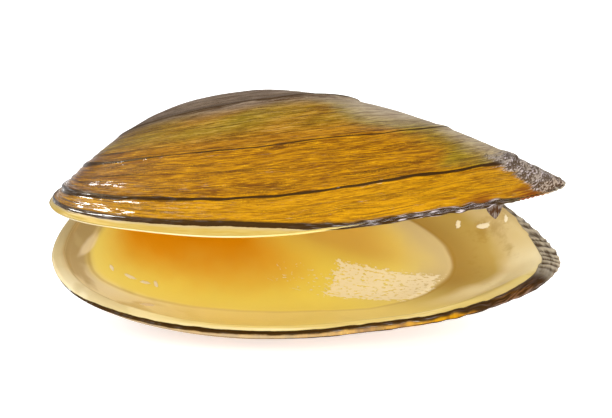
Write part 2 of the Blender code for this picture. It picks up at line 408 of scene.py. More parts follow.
def make_valve(name, side, form):
    """Object of one valve with its relief and the values that its material reads."""
    sheet = ValveSheet(side)
    along, size, growth, length = sheet.along, sheet.size, sheet.growth_mm, sheet.along_mm
    outer = sheet.row <= sheet.middle
    front = 1 - smooth((along - 0.9) / 0.7)

    # Where the skin ends: on the outside of the upper lip, over the edge of the lower one.
    spread = np.hypot(sheet.x_full, sheet.drop_full) / MM
    rear = smooth((along - 1.76) / 0.2)
    tail = smooth((along - 2.38) / 0.14)
    if side > 0:
        bare = 1 - smooth((along - 1.66) / 0.26)
        skin_end = -0.039 * bare * spread + 1.7 * rear + 0.6 * tail
    else:
        reach_along, reach = np.array(SKIN_REACH).T
        skin_end = np.interp(along, reach_along, reach)
    skin_end = skin_end + 0.15 * soft_noise(length / 9, 0 * length, 11)
    skin_end = skin_end + 0.30 * rear * soft_noise(length / 2.3, 0 * length, 12)
    skin_mm = skin_end - sheet.inward_mm
    if side > 0:
        band = 1.6 + 1.5 * rear * (1 - tail) - 0.05 * tail
    else:
        band = 1.15 + 0.3 * rear + 3.2 * smooth((along - 2.15) / 0.35)
    bead_mm = np.minimum(band, 3.1)
    bead = smooth(skin_mm / (0.4 * bead_mm)) * smooth((1.25 * bead_mm - skin_mm) / (0.5 * bead_mm))
    lumps = 1 + rear * (0.9 * soft_noise(length / 2.6, skin_mm / 0.9, 13) + 0.4)

    # Wrinkles on the rear slope, and pleats round the rear margin.
    slope = smooth((along - 2.53) / 0.16) * smooth((size - 0.825) / 0.05) * outer * (side > 0)
    wrinkle = soft_noise(length / 2.0, growth / 0.65, 21)
    wrinkle = wrinkle + 0.8 * soft_noise(length, growth / 0.4, 22)
    margin_mm = outline_length(along)
    pleat_place = margin_mm / PLEAT_LENGTH + 0.6 * soft_noise(margin_mm / 5, 0 * length, 23)
    pleat_turn = 2 * math.pi * pleat_place + 1.3 * soft_noise(margin_mm / 3, growth, 24)
    pleat = 0.5 + 0.5 * np.sin(pleat_turn)
    pleat = pleat * (0.65 + 0.35 * soft_noise(margin_mm / 2.7, growth / 2, 25))
    start, depth = (2.36, 3.2) if side > 0 else (2.62, 6.2)
    pleated = smooth((along - start) / 0.22) * smooth((skin_mm + 0.2) / 0.5)
    pleated = pleated * smooth((depth - skin_mm) / 1.2)
    fringe = pleated * smooth((along - 2.62) / 0.1)
    # Crease shade: the hollows of the wrinkles and the grooves of the pleats, where the material
    # paints shade.
    crease = slope * smooth(0.5 - 0.8 * wrinkle) + pleated * (1 - pleat)

    # Relief in millimetres.
    calm = smooth(size * sheet.drop_full / RING_CALM)
    ridge = 0.06 * soft_noise(length / 14, growth / 1.3, 31)
    ridge = ridge + 0.04 * soft_noise(length / 7, growth / 0.7, 32)
    ridge = ridge * (1 + 2.4 * front * smooth((size - 0.6) / 0.1))
    relief = np.where(outer, ring_relief(along, size) / MM * calm - form.inset / MM + ridge, 0)
    relief = relief + form.wrinkle / MM * slope * np.clip(wrinkle, -1, 1)
    relief = relief + form.bead / MM * bead * lumps * (1 - pleated)
    relief = relief + form.pleat / MM * pleated * (pleat - 0.4)
    if side < 0:
        # The lower valve bellies out just behind its front margin.
        begin, full, fade, end = BELLY_ALONG
        belly = smooth((along - begin) / (full - begin)) * smooth((end - along) / (end - fade))
        full, fade, end = BELLY_DEPTH
        below = np.where(outer, -sheet.inward_mm, 0)
        belly = belly * smooth(below / full) * smooth((end - below) / (end - fade))
        relief = relief + form.belly / MM * belly

    # Thicker nacre inside the line of the mantle.
    line_along, line_size = np.array(NACRE_LINE).T
    line = np.mean([np.interp(along + shift, line_along, line_size) for shift in NACRE_BLUR], 0)
    nacre_mm = (line - size) * spread + 0.25 * soft_noise(length / 6, growth / 6, 41)
    nacre_mm = np.where(outer, -60, nacre_mm)
    ends = 0.25 + 0.75 * smooth((along - 2.3) / 0.3)
    step = form.nacre_step / MM * ends * smooth((nacre_mm + 0.5) / (1.6 + 2.4 * front))
    swell = 0.10 * soft_noise(length / 13, growth / 11, 42)
    relief = relief + np.where(outer, 0, (step + swell) * smooth(sheet.inward_mm / 8) * calm)

    base = sheet.points()
    points = base + sheet.normals(base) * relief[..., None] * MM
    lip_along, lip_shift = np.array(LIP_WAVE).T
    outward = np.interp(along, lip_along, lip_shift) * smooth((size - 0.93) / 0.07) * (side > 0)
    points[..., 1] -= outward * MM
    points[0, 1:-1] = points[1, 1:-1].mean(axis=0)
    points[-1, 1:-1] = points[-2, 1:-1].mean(axis=0)
    points = sheet.close_hinge(points)

    place = valve_place(side)
    turn = np.array(place.to_3x3())
    points = points @ turn.T + np.array(place.translation)
    points = np.clip(points, CAD_BOX[0], CAD_BOX[1])    # the relief stays inside the solids' box

    values = {
        "along": along, "size": size, "along_mm": length, "skin_mm": skin_mm,
        "nacre_mm": nacre_mm, "crease": crease, "fringe": fringe, "slope": slope, "band_mm": band,
    }
    return grid_object(name, points, values)


def grid_object(name, points, values):
    """Object made of a grid bent to the points, with its doubles merged, carrying the values."""
    rows, columns = points.shape[0] - 1, points.shape[1] - 1
    bm = bmesh.new()
    for key in values:
        bm.verts.layers.float.new(key)
    layers = {key: bm.verts.layers.float[key] for key in values}
    grid = bmesh.ops.create_grid(bm, x_segments=columns, y_segments=rows, size=0.5)
    for vertex in grid["verts"]:
        column = round((vertex.co.x + 0.5) * columns)
        row = round((vertex.co.y + 0.5) * rows)
        vertex.co = points[row, column]
        for key, layer in layers.items():
            vertex[layer] = values[key][row, column]
    bmesh.ops.remove_doubles(bm, verts=bm.verts, dist=1e-7)
    return mesh_object(name, bm)


def mesh_object(name, bm):
    """Object at the origin made of the mesh, smooth and with its faces turned out."""
    if bm.calc_volume(signed=True) < 0:
        bmesh.ops.reverse_faces(bm, faces=bm.faces)
    for face in bm.faces:
        face.smooth = True
    mesh = bpy.data.meshes.new(name)
    bm.to_mesh(mesh)
    bm.free()
    piece = bpy.data.objects.new(name, mesh)
    bpy.context.scene.collection.objects.link(piece)
    return piece


class Field:
    """Output of a shader node. Arithmetic on it adds Math nodes."""

    def __init__(self, shade, socket):
        self.shade = shade
        self.socket = socket

    def math(self, operation, *values):
        return self.shade.node("ShaderNodeMath", {"operation": operation}, values)

    def __add__(self, other):
        return self.math("ADD", self, other)

    def __sub__(self, other):
        return self.math("SUBTRACT", self, other)

    def __mul__(self, other):
        return self.math("MULTIPLY", self, other)

    def __truediv__(self, other):
        return self.math("DIVIDE", self, other)

    def __rsub__(self, other):
        return self.math("SUBTRACT", other, self)

    def __abs__(self):
        return self.math("ABSOLUTE", self)

    __radd__ = __add__
    __rmul__ = __mul__


class Shade:
    """A material and the calls that fill its node tree."""

    def __init__(self, name):
        self.material = bpy.data.materials.new(name)
        self.material.use_nodes = True
        self.tree = self.material.node_tree
        self.shader = self.tree.nodes["Principled BSDF"]

    def node(self, kind, settings=None, values=(), output=0):
        """Add a node with its settings and the values or links of its sockets."""
        node = self.tree.nodes.new(kind)
        for key, value in (settings or {}).items():
            setattr(node, key, value)
        pairs = values.items() if isinstance(values, dict) else enumerate(values)
        for key, value in pairs:
            self.feed(node.inputs[key], value)
        return Field(self, node.outputs[output])

    def feed(self, socket, value):
        """Link a field to a socket, or set the socket's own value."""
        if isinstance(value, Field):
            self.tree.links.new(value.socket, socket)
        elif hasattr(value, "__len__") and len(socket.default_value) == 4:
            socket.default_value = (*value[:3], 1.0)
        else:
            socket.default_value = value

    def attributes(self, *names):
        """Values that the piece's mesh carries."""
        return [
            self.node("ShaderNodeAttribute", {"attribute_name": name}, output=2) for name in names]

    def place(self):
        """Point of the piece in metres."""
        return self.node("ShaderNodeTexCoord", output=3)

    def noise(self, vector, scale=1.0, detail=2.0, roughness=0.5):
        """Cloudy noise from 0 to 1, around a half."""
        values = {"Vector": vector, "Scale": scale, "Detail": detail, "Roughness": roughness}
        return self.node("ShaderNodeTexNoise", values=values)

    def streaks(self, along, down, layer=0.0, **settings):
        """Noise on the surface, with clouds one unit long and one unit deep."""
        surface = self.node("ShaderNodeCombineXYZ", values=(along, down, layer))
        return self.noise(surface, **settings)

    def step(self, value, low, high):
        """Ease from 0 to 1 as the value goes from low to high."""
        settings = {"interpolation_type": "SMOOTHSTEP"}
        return self.node("ShaderNodeMapRange", settings, {0: value, 1: low, 2: high})

    def mix(self, share, first, second):
        """The first colour where the share is 0 and the second where it is 1."""
        values = {0: share, 6: first, 7: second}
        return self.node("ShaderNodeMix", {"data_type": "RGBA"}, values, output=2)

    def larger(self, first, second):
        return self.node("ShaderNodeMath", {"operation": "MAXIMUM"}, (first, second))

    def clamp(self, value, low, high):
        return self.node("ShaderNodeClamp", values=(value, low, high))

    def axis(self, vector, index):
        """One number of a vector: 0 for X, 1 for Y, 2 for Z."""
        return self.node("ShaderNodeSeparateXYZ", values=(vector,), output=index)

    def distance(self, vector):
        """Distance of a point from the middle of the spot that local measures it from."""
        return self.node("ShaderNodeVectorMath", {"operation": "LENGTH"}, (vector,), output=1)

    def local(self, place, spot, turn):
        """Place seen from a spot's middle, turned by degrees and measured in its half sizes."""
        return self.node("ShaderNodeMapping", {"vector_type": "TEXTURE"}, {
            "Vector": place, "Location": (spot[0] * MM, spot[1] * MM, 0),
            "Rotation": (0, 0, math.radians(turn)), "Scale": (spot[2] * MM, spot[3] * MM, 1)})

    def finish(self, colour, roughness, height=None, coat=None, **constants):
        """Feed the shader. Height is in millimetres."""
        self.feed(self.shader.inputs["Base Color"], colour)
        self.feed(self.shader.inputs["Roughness"], roughness)
        if coat is not None:
            self.feed(self.shader.inputs["Coat Weight"], coat)
        if height is not None:
            bump = self.node("ShaderNodeBump", values={"Distance": MM, "Height": height})
            self.feed(self.shader.inputs["Normal"], bump)
        for key, value in constants.items():
            self.feed(self.shader.inputs[key.replace("_", " ")], value)
        return self.material


def skin_look(shade, colours):
    """Colour, roughness, wetness and height of the horny skin outside."""
    step, mix, streaks = shade.step, shade.mix, shade.streaks
    along, length, size, crease, slope = shade.attributes(
        "along", "along_mm", "size", "crease", "slope")
    growth = size * GROWTH_LENGTH

    wander = streaks(length / 24, growth / 5)
    line = growth + (wander - 0.5) * 2.0
    fine = streaks(length / 4.5, line / 0.24, detail=3, roughness=0.75)
    broad = streaks(length / 12, line / 0.8, 3.3, roughness=0.6)
    hair = streaks(length / 12, line / 0.22, 12.6, roughness=0.6)
    cloud = streaks(length / 16, growth / 9, 7.1)
    grain = shade.noise(shade.place(), scale=2400, detail=1)

    front = 1 - step(along, 1.0, 1.75)
    old = 1 - step(growth + (cloud - 0.5) * 3, 31, 36)
    middle = 1 - step(growth + (cloud - 0.5) * 6, 40, 48)
    young = step(growth, 57.0, 58.5)
    waver = along + (cloud - 0.5) * 0.2
    top_rear = step(along + (cloud - 0.5) * 0.3, 2.05, 2.58)

    # Streaks along the growth lines: golden brown, olive where older, and grey round the umbo.
    streak = step(broad * 0.3 + fine * 0.7 - front * 0.05 + young * 0.04, 0.38, 0.62)
    colour = mix(streak, colours.amber, colours.gold)
    bright = step(fine + (grain - 0.5) * 0.2, 0.60, 0.72)
    colour = mix(bright * (0.5 + front * 0.4), colour, colours.straw)
    olive = step(middle * 0.5 + top_rear * (1 - young) * 0.7 + cloud * 0.6, 0.50, 1.05)
    colour = mix(olive * 0.9, colour, mix(streak, colours.moss, colours.olive))
    colour = mix(old, colour, mix(streak, colours.grey_dark, colours.grey))
    dark_streak = hair + (grain - 0.5) * 0.2 - front * 0.07 - top_rear * 0.04
    dark_streak = 1 - step(dark_streak, 0.36, 0.43)
    colour = mix(dark_streak * (0.65 + front * 0.3 + middle * 0.2), colour, colours.umber)
    colour = mix(young * 0.12, colour, mix(streak, colours.gold, colours.straw))

    # Painted sheen: a silvery reflection of the bright surroundings painted over the upper rear
    # skin and faded past its upper rear edge; a worn front end, and rust by the rear margin.
    dorsal = step(waver + (streak - 0.5) * 0.05, 2.48, 2.78) * (1 - young)
    silver_sheen = top_rear * middle * (0.4 + step(growth, 24, 36) * 0.6)
    crown = 1 - step(waver, 2.85, 3.1) * 0.7
    # Painted sheen: this silvery grey stands in for the reflection of the bright surroundings.
    sheen = shade.larger(dorsal * 0.8, silver_sheen) * crown + middle * (streak - 0.5) * 0.3
    colour = mix(sheen, colour, mix(streak, colours.grey, colours.sheen_and_stain))
    end = 1 - step(along + (cloud - 0.5) * 0.3, 0.75, 1.15)
    worn = mix(streak, colours.umber, colours.tip)
    colour = mix(end * (1 - old) * 0.5, colour, worn)
    rust = step(along, 2.15, 2.35) * (1 - step(along, 2.55, 2.7))
    rust = rust * step(growth, 61.8, 64.2) * step(hair * 0.5 + cloud * 0.5, 0.62, 0.42)
    colour = mix(rust, colour, colours.rust)

    # Dark rings, of uneven width and wider in front.
    darkness = 0.0
    thick = streaks(length / 11, growth / 30, 1.7)
    swell = thick * 0.9 + 0.25 + front * front * 2.6
    for ring, width, strength in RING_LINES:
        away = abs(line - ring * GROWTH_LENGTH) / (swell * width)
        darkness = shade.larger((1 - step(away, 0.55, 1.1)) * strength, darkness)
    colour = mix(darkness, colour, colours.line)

    # Scaly skin of the rear slope, blotched with painted lilac highlights and with dark cracks that
    # run deeper where painted shade fills the wrinkles' hollows, and its worn tip.
    flake = streaks(length / 0.9, growth / 0.35, 6.0, detail=3, roughness=0.7)
    blot = streaks(length / 4, growth / 2.2, 1.0)
    cracks = step(crease * 0.3 + (flake - 0.5) * 2.8 + (blot - 0.5) * 1.6, -0.1, 0.25)
    # Painted highlights: the lighter lilac blotches of the scales.
    scaly = mix(step(blot, 0.48, 0.62), colours.scale, colours.glint)
    scaly = mix(cracks, scaly, colours.grey_dark)
    ragged = slope + (hair - 0.5) * 1.6 + (blot - 0.5) + (flake - 0.5) * 0.8
    colour = mix(step(ragged, 0.25, 0.85) * 0.95, colour, scaly)
    tip = step(along, 2.58, 2.70) * step(growth, 62.6, 63.6)
    colour = mix(tip * 0.7, colour, mix(cracks, colours.tip, colours.umber))

    # Water lies in broken streaks on the front end.
    film = streaks(length / 3.4, line / 0.50, 11.0, detail=3, roughness=0.65)
    wet = (1 - step(along, 1.30, 1.75)) * step(growth, 52, 55.5)
    drops = step(film + (grain - 0.5) * 0.2, 0.64, 0.70) * (1 - old) * 0.5
    coat = shade.larger(wet * step(film, 0.51, 0.59), drops)

    height = fine * (0.07 + front * 0.05) + broad * (0.06 + front * 0.14) + grain * 0.012
    height = height - darkness * 0.12 - slope * flake * 0.18
    roughness = 0.36 + old * 0.18 + (1 - streak) * 0.08 + middle * 0.06 - front * 0.12
    return colour, roughness, coat, height


def nacre_look(shade, colours, marked):
    """Colour, roughness, wetness and height of the mother-of-pearl inside."""
    step, mix, streaks = shade.step, shade.mix, shade.streaks
    along, length, size, nacre = shade.attributes("along", "along_mm", "size", "nacre_mm")
    growth = size * GROWTH_LENGTH
    place = shade.place()
    cloud = shade.noise(place, scale=90)
    line = streaks(length / 40, growth / 1.3, 5.0)
    smear = shade.noise(place, scale=130, roughness=0.4)
    strokes = shade.noise(shade.local(place, HIGHLIGHT_STROKE, HIGHLIGHT_TURN), detail=3, roughness=0.6)

    front = 1 - step(along, 1.15, 1.75)
    rear = step(along, 2.2, 2.75)
    inner = step(nacre + front * 1.5 * (cloud - 0.5), front * -2.6 - 0.7, front * 2.2 + 0.7)

    # Bowl: orange under the umbo, partly the nacre's own colour and partly painted shade of the
    # upper valve, then gold, cream and a pale rear end, with painted shade darkening its upper rear
    # part.
    deep = size + (cloud - 0.5) * 0.12 - (1 - step(along, 0.9, 1.7)) * 0.14
    orange_and_shade = (1 - step(deep, 0.20, 0.56)) * (1 - step(along, 2.1, 3.1) * 0.9)
    colour = mix(orange_and_shade, colours.pearl_gold, colours.pearl_orange)
    pale = step(size, 0.42, 0.80) * (0.55 + rear * 0.3)
    colour = mix(pale, colour, colours.pearl_cream)
    # Painted shade: the upper rear part of the bowl is darkened where the upper valve shades it.
    shaded_top = step(along, 2.5, 3.1) * (1 - step(size, 0.50, 0.74))
    colour = mix(shaded_top * 0.8, colour, colours.pearl_shaded)
    end_glow = rear * step(nacre + (smear - 0.5) * 6, 15, 2)
    colour = mix(end_glow * 0.75, colour, colours.pearl_end)

    # Band between the mantle line and the margin: smoky in front, beige and white behind, with
    # painted shadow just outside the mantle line behind.
    smoke = step(smear + step(along, 1.20, 0.7) * 0.14, 0.46, 0.62)
    outer_band = mix(step(along, 0.95, 1.3), colours.pearl_khaki, colours.pearl_grey)
    outer_band = mix(smoke * 0.65, outer_band, colours.pearl_smoke)
    outer_band = mix(front, colours.pearl_cream, outer_band)
    # Painted shadow: the beige darkens towards the mantle line, as if shaded by the step of the
    # thicker nacre.
    beige_and_shadow = mix(step(nacre, -11, -1), colours.pearl_beige, colours.pearl_brown_and_shadow)
    outer_band = mix(rear * 0.9, outer_band, beige_and_shadow)
    crest = 0.845 + step(along, 2.4, 2.85) * 0.09 + (smear - 0.5) * 0.06
    beyond = step(size - crest, 0.02, 0.06) * (1 - step(along, 2.75, 3.0))
    white = step(size - crest, -0.085, -0.02) * step(along, 2.3, 2.6)
    white = white * (1 - step(along, 2.95, 3.2) * 0.6)
    outer_band = mix(white * (0.7 + smear * 0.4), outer_band, colours.pearl_white)
    outer_band = mix(beyond * white * 0.7, outer_band, colours.pearl_gold)
    dull = white * step(size - crest, 0.0, 0.05)
    outer_band = mix(dull * 0.35, outer_band, colours.pearl_end)
    marble = step(smear * 0.7 + strokes * 0.3, 0.50, 0.66) * step(along, 2.5, 2.8)
    outer_band = mix(marble * 0.45, outer_band, colours.pearl_brown_and_shadow)
    rim = step(size + (smear - 0.5) * 0.02, 0.95, 0.985) * (0.48 - rear * 0.2)
    rim_colour = mix(front, colours.pearl_brown_and_shadow, colours.pearl_khaki)
    outer_band = mix(rim, outer_band, rim_colour)
    colour = mix(inner, outer_band, colour)
    # Mantle line: a real brownish line, widened at the rear by painted shadow beside the step of
    # the nacre.
    mantle_line = 1 - step(abs(nacre + 0.3), 0.1, 1.1)
    mantle_line = mantle_line * (0.22 + rear * 0.30 + front * 0.10)
    colour = mix(mantle_line, colour, colours.pearl_brown_and_shadow)
    near_rim = step(size, 0.86, 0.92) * (1 - rear) * (1 - front * 0.6)
    colour = mix(step(line, 0.50, 0.72) * near_rim * 0.5, colour, colours.pearl_white)

    height = strokes * 0.03 + line * 0.02 * (1 - rear) + cloud * 0.12
    roughness = 0.20 + cloud * 0.06
    if not marked:
        return colour, roughness, 0.0, height

    # A scar in front with a streak of painted highlight, a speckled patch of painted highlight
    # behind it, and a few painted white glints like blisters.
    away = shade.distance(shade.local(place, SCAR, SCAR_TURN))
    scar = 1 - step(away + (smear - 0.5) * 1.2, 0.4, 1.1)
    colour = mix(scar * 0.6, colour, colours.painted_highlight)
    patch = shade.local(place, HIGHLIGHT_PATCH, HIGHLIGHT_TURN)
    lengthwise, crosswise = shade.axis(patch, 0), shade.axis(patch, 1)
    dense = 1 - shade.larger(abs(lengthwise), abs(crosswise))
    sparse = 1 - shade.larger(abs(lengthwise + 1.15) / 0.75, abs(crosswise + 0.4) * 1.5)
    dense = shade.clamp(dense * 1.1 + 0.02, -0.30, 0.22)
    cover = shade.larger(dense, shade.clamp(sparse, -0.30, 0.0))
    painted_highlight = step(strokes + cover, 0.60, 0.68) * inner
    glint_spots = 0.0
    for x, y, half_length, half_width, turn in GLINT_SPOTS:
        away = shade.distance(shade.local(place, (x, y, half_length, half_width), turn))
        glint_spots = shade.larger(1 - step(away + (strokes - 0.5) * 1.4, 0.7, 1.0), glint_spots)
    colour = mix(shade.larger(painted_highlight * 0.85, glint_spots), colour, colours.painted_highlight)
    height = height + painted_highlight * 0.06 + glint_spots * 0.15
    return colour, roughness + painted_highlight * 0.12, glint_spots, height


def shell_material(name, colours, upper):
    """Material of a whole valve: skin outside, cream lip, mother-of-pearl inside."""
    shade = Shade(name)
    step, mix, streaks = shade.step, shade.mix, shade.streaks
    skin_colour, skin_rough, skin_coat, skin_height = skin_look(shade, colours)
    pearl_colour, pearl_rough, pearl_coat, pearl_height = nacre_look(shade, colours, not upper)
    along, length, skin_mm, nacre_mm, band, crease, fringe = shade.attributes(
        "along", "along_mm", "skin_mm", "nacre_mm", "band_mm", "crease", "fringe")

    # Dark line along the edge of the skin, and the pleated fringe with painted shade in its
    # grooves.
    fray = streaks(length / 3.5, skin_mm / 1.2, 2.2, detail=3, roughness=0.6)
    edge = skin_mm + (fray - 0.5) * 0.5
    on_skin = step(edge, -0.08, 0.08)
    line = on_skin * (1 - step(edge / band, 0.75, 1.1))
    streak = streaks(length / 4, skin_mm / 0.24, 9.0)
    tail = step(along, 2.30, 2.45)
    dark = mix(step(streak, 0.5, 0.75) * 0.5, colours.line, colours.umber)
    gilded = tail * step(streak, 0.45, 0.6) * 0.7
    if not upper:
        gilded = gilded * (1 - step(along, 2.5, 2.7))
    dark = mix(gilded, dark, colours.moss if upper else colours.amber)
    colour = mix(line, skin_colour, dark)
    if upper:
        # Painted highlights: lilac glints painted along the dark band of the wet rear margin.
        shine = step(along, 1.85, 2.05) - tail
        colour = mix(line * shine * step(streak, 0.54, 0.62), colour, colours.glint)
    else:
        # Painted light: the lower valve's skin near its front margin is lightened with the sheen
        # colour, as if lit from the white floor below.
        below = (1 - step(along, 1.7, 2.1)) * (1 - step(skin_mm, 5, 10)) * (1 - line)
        colour = mix(below * 0.7, colour, colours.sheen_and_stain)
    # Painted shade: the pleats' grooves turn dark grey.
    pleats = step(crease + (fray - 0.5) * 1.6, 0.25, 1.1)
    pleats = mix(pleats, colours.pleat, colours.grey_dark)
    colour = mix(fringe * 0.9, colour, pleats)

    # Bare lip beyond the skin, and what is wet.
    lip_cloud = streaks(length / 9, skin_mm / 0.8, 4.0)
    lip = mix(step(lip_cloud, 0.3, 0.8), colours.lip, colours.lip_pale)
    # Grey stain on the lip by the skin's edge.
    lip = mix(step(skin_mm + (fray - 0.5) * 0.8, -1.0, 0.0) * 0.6, lip, colours.sheen_and_stain)
    lip = mix(step(nacre_mm * -1, 42, 48), pearl_colour, lip)
    colour = mix(on_skin, lip, colour)

    ends = step(along, 1.75, 1.95)
    if upper:
        ends = shade.larger(1 - step(along, 1.35, 1.55), ends)
    glint = line * step(streak, 0.50, 0.62) * ends
    coat = pearl_coat + (shade.larger(skin_coat, glint) - pearl_coat) * on_skin
    roughness = pearl_rough + (skin_rough - pearl_rough) * on_skin
    height = pearl_height + (skin_height + line * streak * 0.15 - pearl_height) * on_skin
    return shade.finish(
        colour, roughness, height, coat, Specular_IOR_Level=0.1, Specular_Tint=(1.0, 0.72, 0.28),
        Coat_IOR=1.65, Coat_Roughness=0.1)


def ligament_material(colours):
    """Dark brown horny band with fine cross wrinkles."""
    shade = Shade("ligament_horn")
    step, mix, streaks = shade.step, shade.mix, shade.streaks
    place = shade.place()
    along = shade.axis(place, 0) / MM
    wrinkle = streaks(along / 0.5, along / 9)
    cloud = shade.noise(place, scale=400)
    pale = step(wrinkle * 0.6 + cloud * 0.4, 0.4, 0.7)
    colour = mix(pale, colours.line, colours.ligament)
    height = wrinkle * 0.12 + cloud * 0.06
    return shade.finish(colour, 0.38 + cloud * 0.2, height, Specular_IOR_Level=0.4)


def scrap_material(colours):
    """Scrap of dried skin with fine ribs down it."""
    shade = Shade("skin_scrap")
    step, mix, streaks = shade.step, shade.mix, shade.streaks
    place = shade.place()
    cloud = shade.noise(place, scale=900)
    rib = streaks(shade.axis(place, 0) / MM / 0.35, 0.0)
    pale = step(rib * 0.6 + cloud * 0.4, 0.45, 0.60) * 0.7
    colour = mix(pale, colours.umber, colours.scale)
    return shade.finish(colour, 0.45 + cloud * 0.2, rib * 0.2 + cloud * 0.1, Specular_IOR_Level=0.1)


def colour_property(name, description, default):
    return FloatVectorProperty(
        name=name, description=description, default=default, subtype="COLOR", size=3, min=0, max=1)


def length_property(name, description, default):
    return FloatProperty(
        name=name, description=description, default=default, min=0, unit="LENGTH", precision=5)


def light_property(name, description, default):
    return FloatProperty(name=name, description=description, default=default, min=0, unit="POWER")


class MusselForm(bpy.types.PropertyGroup):
    """Sizes of the fine relief."""

    inset: length_property("Inset", "Depth of the skin below the plain solid", 0.00015)
    wrinkle: length_property("Wrinkles", "Height of the wrinkles on the rear slope", 0.00022)
    bead: length_property("Bead", "Height of the dark bead along the margin", 0.00025)
    pleat: length_property("Pleats", "Height of the pleats round the rear margin", 0.00055)
    nacre_step: length_property("Nacre Step", "Extra thickness of the inner nacre", 0.00045)
    scrap: length_property("Scrap", "Length of the scrap of skin under the rear margin", 0.0043)
    belly: length_property("Belly", "Swelling behind the lower valve's front margin", 0.0005)


class MusselColours(bpy.types.PropertyGroup):
    """Colours of skin, nacre and ligament."""

    gold: colour_property("Gold", "Bright streaks of the skin", (0.44, 0.195, 0.001))
    amber: colour_property("Amber", "Orange-brown streaks of the skin", (0.150, 0.048, 0.001))
    umber: colour_property("Umber", "Darkest fine streaks of the skin", (0.055, 0.019, 0.002))
    straw: colour_property("Straw", "Brightest fine streaks of the skin", (0.72, 0.40, 0.01))
    rust: colour_property("Rust", "Red-brown stain by the rear margin", (0.17, 0.040, 0.003))
    tip: colour_property("Tip", "Worn rear tip", (0.46, 0.35, 0.26))
    # Painted highlights on the wet rear margin and on the rear scales.
    glint: colour_property("Glint", "Lilac sheen of the wet rear margin", (0.58, 0.50, 0.51))
    # Painted sheen and painted floor light on the skin; also the lip's grey stain by the skin's
    # edge.
    sheen_and_stain: colour_property("Haze", "Silvery sheen of the upper rear skin", (0.42, 0.34, 0.22))
    olive: colour_property("Olive", "Light olive streaks", (0.30, 0.215, 0.008))
    moss: colour_property("Moss", "Dark olive streaks", (0.125, 0.085, 0.004))
    grey: colour_property("Grey", "Worn skin round the umbo", (0.22, 0.155, 0.11))
    grey_dark: colour_property("Dark Grey", "Dark streaks round the umbo", (0.070, 0.047, 0.032))
    scale: colour_property("Scales", "Wrinkled skin of the rear slope", (0.34, 0.285, 0.24))
    pleat: colour_property("Pleats", "Ridges of the rear fringe", (0.46, 0.40, 0.30))
    line: colour_property("Rings", "Growth rings and the edge of the skin", (0.030, 0.012, 0.002))
    lip: colour_property("Lip", "Bare lip beyond the skin", (0.42, 0.275, 0.05))
    lip_pale: colour_property("Pale Lip", "Pale streaks of the lip", (0.49, 0.365, 0.11))
    # Partly painted shade: the deep orange stands for the shade of the upper valve as well as the
    # nacre's colour.
    pearl_orange: colour_property("Deep Nacre", "Nacre under the umbo", (0.76, 0.30, 0.003))
    pearl_gold: colour_property("Golden Nacre", "Nacre of the bowl", (0.87, 0.74, 0.13))
    pearl_cream: colour_property("Cream Nacre", "Nacre towards the margin", (0.90, 0.78, 0.30))
    pearl_grey: colour_property("Grey Nacre", "Outer band at the front", (0.86, 0.80, 0.58))
    pearl_smoke: colour_property("Smoky Nacre", "Smoky clouds in front", (0.42, 0.32, 0.16))
    pearl_khaki: colour_property("Khaki Nacre", "Outer band at the front end", (0.50, 0.40, 0.21))
    pearl_end: colour_property("Pale Nacre", "Rear end of the bowl", (0.58, 0.45, 0.28))
    # Painted shade: the darker amber of the bowl's upper rear part, under the upper valve.
    pearl_shaded: colour_property("Amber Nacre", "Upper rear part of the bowl", (0.62, 0.34, 0.07))
    pearl_beige: colour_property("Beige Nacre", "Outer band at the rear", (0.46, 0.31, 0.08))
    # Also the painted shadow beside the mantle line at the rear.
    pearl_brown_and_shadow: colour_property("Nacre Line", "Line of the mantle", (0.36, 0.21, 0.04))
    pearl_white: colour_property("White Nacre", "Palest streaks of the nacre", (0.92, 0.84, 0.58))
    # Painted highlight: white for the glints painted on the wet nacre and the scar's streak.
    painted_highlight: colour_property("Frost", "Frosted patch of the nacre", (0.95, 0.87, 0.68))
    ligament: colour_property("Ligament", "Ridges of the ligament", (0.16, 0.075, 0.03))


class MusselStage(bpy.types.PropertyGroup):
    """Camera, floor and lights."""

    floor_width: length_property("Floor", "Width of the floor", 6.0)
    floor_glow: FloatProperty(
        name="Floor Glow", description="Light given off by the floor", default=0.6, min=0)
    sky: FloatProperty(name="Sky", description="Light from all round", default=0.75, min=0)
    front_light: light_property("Front Light", "Soft light above the camera", 6.0)
    top_light: light_property("Top Light", "Soft light overhead", 2.2)
    left_light: light_property("Left Light", "Low light on the left, for the nacre's gloss", 1.0)
    gloss_strip: light_property("Gloss Strip", "Strip at the left that only adds gloss", 15.0)
    lens: FloatProperty(name="Lens", description="Focal length", default=174.3, unit="CAMERA")


def direction(azimuth, elevation):
    """Way towards an azimuth, 0 in front of the gape, and an elevation, both in radians."""
    level = math.cos(elevation)
    return Vector((math.sin(azimuth) * level, -math.cos(azimuth) * level, math.sin(elevation)))


def dress(piece, material):
    """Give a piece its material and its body."""
    piece.data.materials.append(material)
    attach(piece, "root")


class MUSSEL_OT_upper_valve(bpy.types.Operator):
    """Build the upper valve, skin side up"""

    bl_idname = "mussel.upper_valve"
    bl_label = "Upper Valve"

    def execute(self, context):
        scene = context.scene
        piece = make_valve("upper_valve", 1, scene.mussel_form)
        dress(piece, shell_material("upper_shell", scene.mussel_colours, True))
        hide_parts("left_valve")
        return {"FINISHED"}


